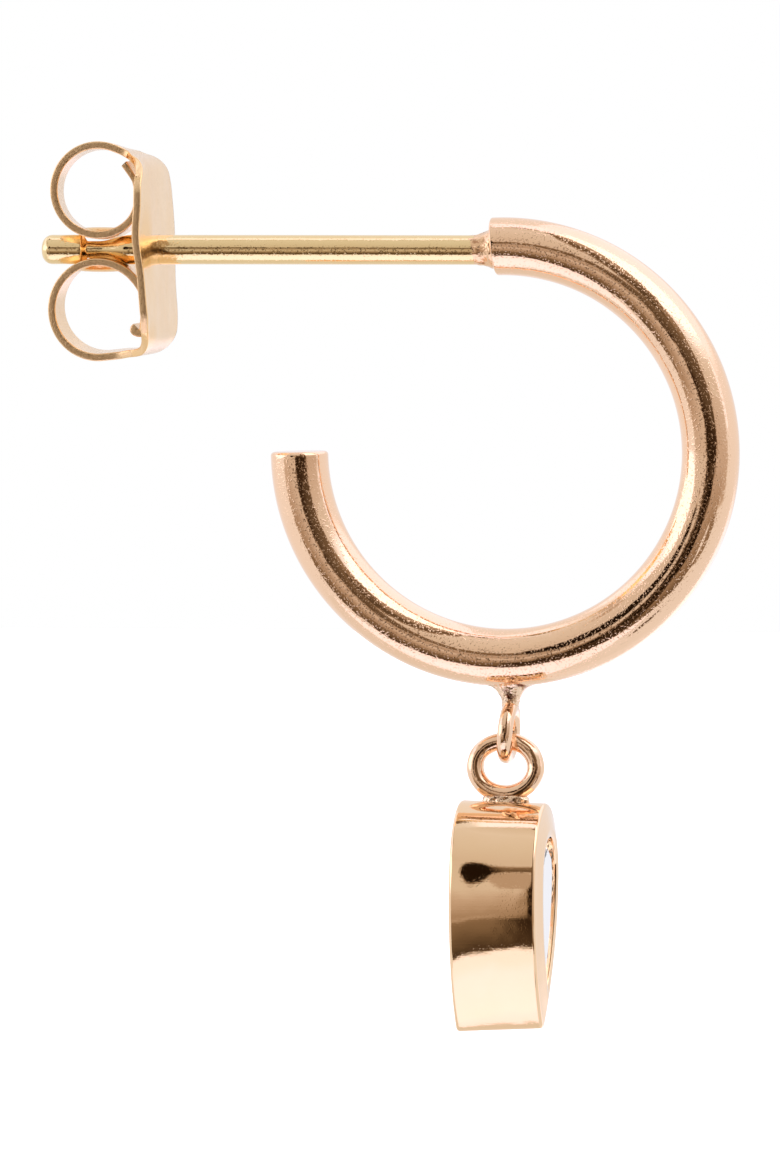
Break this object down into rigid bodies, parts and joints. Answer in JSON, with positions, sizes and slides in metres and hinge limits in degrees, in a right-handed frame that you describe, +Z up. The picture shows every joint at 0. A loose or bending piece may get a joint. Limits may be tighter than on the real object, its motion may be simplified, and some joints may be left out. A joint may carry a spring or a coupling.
{
  "type": "hoop charm earring",
  "caption": "Open round hoop on a straight post with a butterfly clutch and a swinging pear-shaped stone charm in a thick-rimmed gold setting.",
  "frame": {"origin": "on the post's axis at the end of the hoop's tube, where the front of the ear lobe rests", "axes": "-X along the post towards its tip, hoop in the XZ plane, +Z up with the charm hanging along -Z"},
  "size_m": [0.019, 0.0044, 0.024],
  "materials": {
    "hoop_gold": "rose-yellow 14 carat gold, bright polished",
    "setting_gold": "yellow 14 carat gold, bright polished",
    "stone": "clear faceted stone",
    "clutch_gold": "14 carat gold sheet, rolled and stamped, polished"
  },
  "bodies": {
    "earring": {"hoop": "hoop_gold"},
    "charm": {"charm_setting": "setting_gold", "pear_stone": "stone"},
    "earring_back": {"clutch": "clutch_gold"}
  },
  "joints": [
    {"name": "charm_swing", "type": "hinge", "parent": "earring", "child": "charm", "pos_m": [0.00033, 0, -0.01369], "axis": [0, 1, 0], "range_deg": [-90, 90]},
    {"name": "clutch_slide", "type": "slide", "parent": "earring", "child": "earring_back", "axis": [-1, 0, 0], "range_m": [-0.0084, 0.008]}
  ]
}
